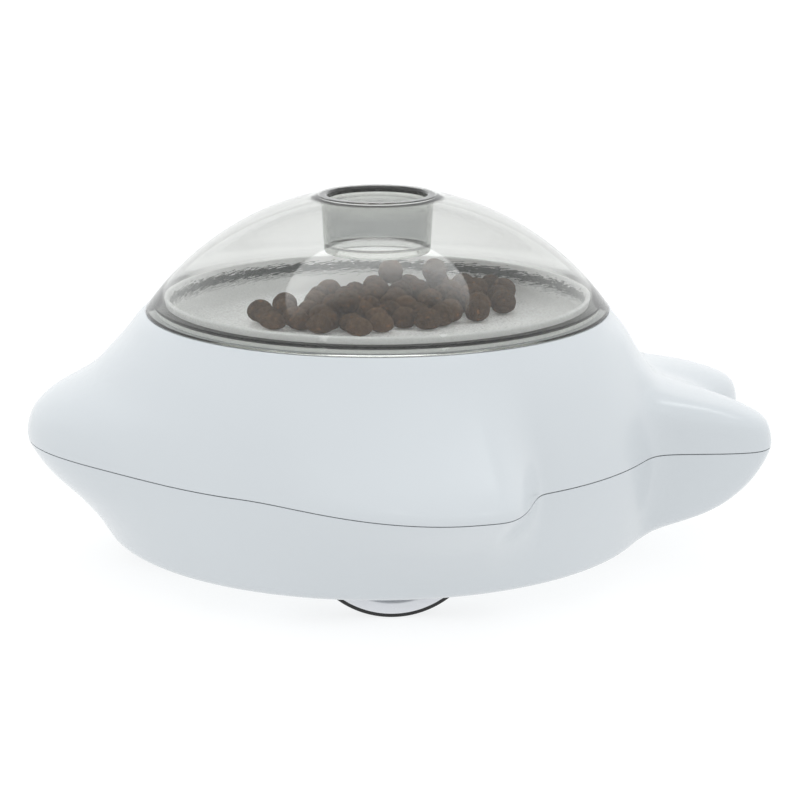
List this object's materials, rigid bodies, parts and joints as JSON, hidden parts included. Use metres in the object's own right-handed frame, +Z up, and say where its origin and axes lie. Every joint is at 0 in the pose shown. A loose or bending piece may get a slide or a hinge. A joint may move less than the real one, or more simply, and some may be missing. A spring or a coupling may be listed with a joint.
{
  "type": "treat dispenser",
  "caption": "Wheeled push button pet treat dispenser with a white finned shell, clear dome, fill tube and a rotor that drops treats through its base.",
  "frame": {"origin": "on the floor under the middle of the object's box", "axes": "+X points at the tail with the push button, the nose is at -X; +Y is the far side, away from the nearer wheel in the picture; +Z is up"},
  "size_m": [0.2393, 0.2284, 0.1193],
  "materials": {
    "white_shell": "glossy white moulded ABS",
    "smoke_clear": "clear moulded plastic with a grey smoke tint",
    "tray_grey": "satin light grey",
    "black_rubber": "matt black rubber",
    "natural_plastic": "satin natural moulding",
    "gear_plastic": "satin acetal",
    "motor_steel": "drawn can",
    "wheel_white": "satin white",
    "bush_bronze": "sintered",
    "steel": "turned",
    "contact_metal": "plated spring metal",
    "grey_plastic": "satin mid grey",
    "caster_rubber": "matt dark grey",
    "button_blue_grey": "glossy blue grey",
    "black_plastic": "satin black",
    "board_green": "solder mask",
    "cell_wrap": "shrink wrap",
    "treat_brown": "rough baked crumb"
  },
  "bodies": {
    "chassis": {"lower_shell": "white_shell", "upper_shell": "white_shell", "hopper_tray": "tray_grey", "rim_seal": "black_rubber", "metering_cup": "natural_plastic", "gear_plate": "natural_plastic", "dispense_motor": "motor_steel", "chute": "natural_plastic", "drive_motor_left": "motor_steel", "motor_bracket_left": "natural_plastic", "drive_motor_right": "motor_steel", "motor_bracket_right": "natural_plastic", "axle_bushes": "bush_bronze", "rear_glide": "grey_plastic", "button_bezel": "grey_plastic", "button_spring": "contact_metal", "button_board": "board_green", "touch_switch": "black_plastic", "battery_cell": "cell_wrap", "battery_holder": "natural_plastic", "battery_contacts": "contact_metal", "battery_door": "white_shell", "circuit_board": "board_green", "board_parts": "black_plastic", "charge_port": "contact_metal", "switch_case": "black_plastic", "shell_screws": "steel", "gear_plate_screws": "steel", "cup_screws": "steel", "board_screws": "steel", "door_screw": "steel", "treats": "treat_brown"},
    "dome": {"dome": "smoke_clear"},
    "rotor": {"dispensing_rotor": "natural_plastic", "rotor_shaft": "steel", "rotor_gear": "gear_plastic"},
    "rotor_pinion": {"rotor_pinion": "gear_plastic"},
    "left_wheel": {"wheel_hub_left": "wheel_white", "tyre_left": "black_rubber", "axle_left": "steel", "drive_gear_left": "gear_plastic"},
    "left_pinion": {"drive_pinion_left": "gear_plastic"},
    "right_wheel": {"wheel_hub_right": "wheel_white", "tyre_right": "black_rubber", "axle_right": "steel", "drive_gear_right": "gear_plastic"},
    "right_pinion": {"drive_pinion_right": "gear_plastic"},
    "caster_fork": {"caster_fork": "grey_plastic", "caster_clip": "steel", "caster_pin": "steel"},
    "caster_wheel": {"caster_wheel": "caster_rubber"},
    "push_button": {"push_button": "button_blue_grey"},
    "power_slider": {"power_slider": "black_plastic"}
  },
  "joints": [
    {"name": "dome_lift", "type": "slide", "parent": "chassis", "child": "dome", "axis": [0, 0, 1], "range_m": [0, 0.06]},
    {"name": "rotor_spin", "type": "hinge", "parent": "chassis", "child": "rotor", "pos_m": [-0.00524, 0, 0.0652], "axis": [0, 0, 1], "continuous": true},
    {"name": "rotor_pinion_spin", "type": "hinge", "parent": "chassis", "child": "rotor_pinion", "pos_m": [0.01876, 0, 0.053], "axis": [0, 0, 1], "continuous": true},
    {"name": "left_wheel_spin", "type": "hinge", "parent": "chassis", "child": "left_wheel", "pos_m": [-0.00524, -0.068, 0.028], "axis": [0, 1, 0], "continuous": true},
    {"name": "left_pinion_spin", "type": "hinge", "parent": "chassis", "child": "left_pinion", "pos_m": [0.00976, -0.0569, 0.028], "axis": [0, 1, 0], "continuous": true},
    {"name": "right_wheel_spin", "type": "hinge", "parent": "chassis", "child": "right_wheel", "pos_m": [-0.00524, 0.068, 0.028], "axis": [0, 1, 0], "continuous": true},
    {"name": "right_pinion_spin", "type": "hinge", "parent": "chassis", "child": "right_pinion", "pos_m": [0.00976, 0.0569, 0.028], "axis": [0, 1, 0], "continuous": true},
    {"name": "caster_swivel", "type": "hinge", "parent": "chassis", "child": "caster_fork", "pos_m": [-0.07124, 0, 0.0202], "axis": [0, 0, 1], "continuous": true},
    {"name": "caster_roll", "type": "hinge", "parent": "caster_fork", "child": "caster_wheel", "pos_m": [-0.06524, 0, 0.009], "axis": [0, 1, 0], "continuous": true},
    {"name": "button_push", "type": "slide", "parent": "chassis", "child": "push_button", "axis": [-1, 0, 0], "range_m": [0, 0.0025], "stiffness_N_per_m": 400, "springref_m": -0.001, "deforming": ["button_spring"]},
    {"name": "power_slide", "type": "slide", "parent": "chassis", "child": "power_slider", "axis": [0, 1, 0], "range_m": [0, 0.003]}
  ],
  "couplings": [
    {"joint": "rotor_pinion_spin", "follows": "rotor_spin", "ratio": -4},
    {"joint": "left_pinion_spin", "follows": "left_wheel_spin", "ratio": -4},
    {"joint": "right_pinion_spin", "follows": "right_wheel_spin", "ratio": -4}
  ]
}
